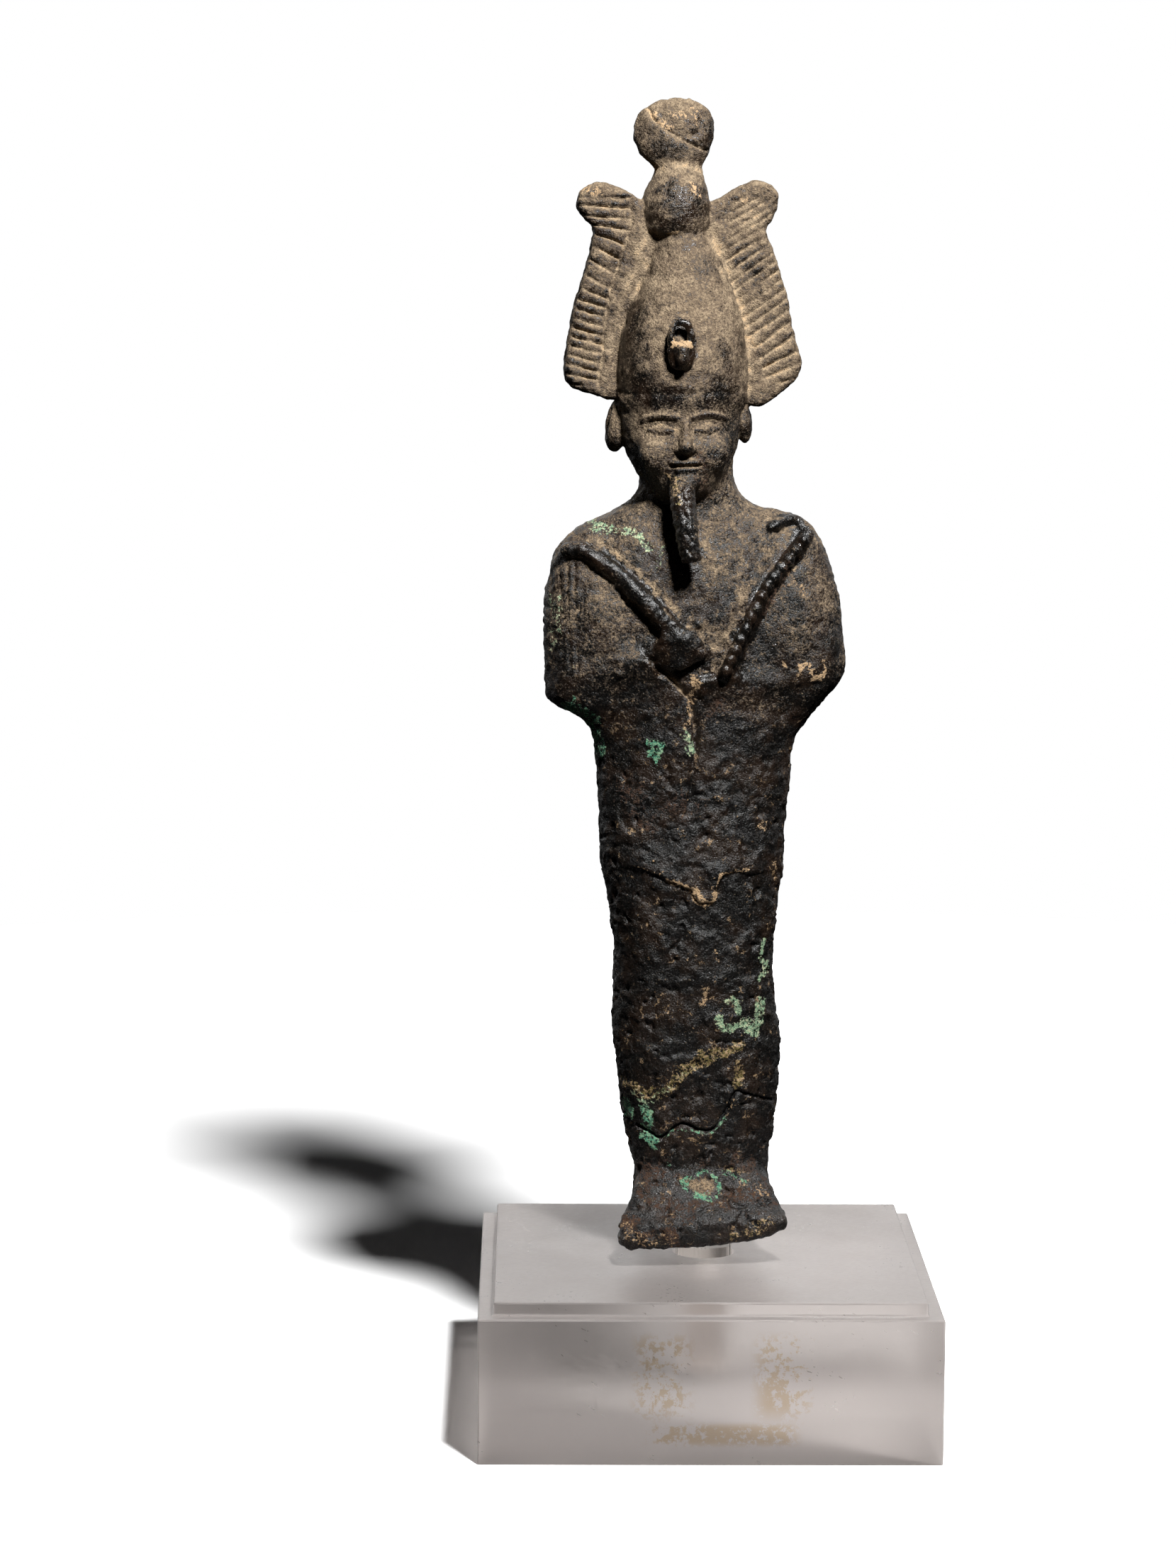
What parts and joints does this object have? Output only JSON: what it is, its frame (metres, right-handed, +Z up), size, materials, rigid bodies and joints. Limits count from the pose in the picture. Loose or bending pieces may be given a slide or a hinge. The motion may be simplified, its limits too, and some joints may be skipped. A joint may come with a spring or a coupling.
{
  "type": "bronze figure of osiris on a stand",
  "caption": "Standing mummy-form figure of a god in a tall plumed crown, cast in bronze, held by a clear rod on a stepped acrylic block",
  "frame": {"origin": "middle of the block's underside", "axes": "+Z up, the figure faces -Y, +X is to the right of someone facing it"},
  "size_m": [0.05, 0.05, 0.1455],
  "materials": {
    "bronze": "dark corroded bronze, dusted tan in its hollows, with small green patches",
    "satin_acrylic": "satin see-through acrylic with polished ledges and light scuffs",
    "clear_acrylic": "clear polished acrylic"
  },
  "bodies": {
    "root": {"display_block": "satin_acrylic", "mounting_rod": "clear_acrylic", "osiris_figure": "bronze"}
  },
  "joints": []
}
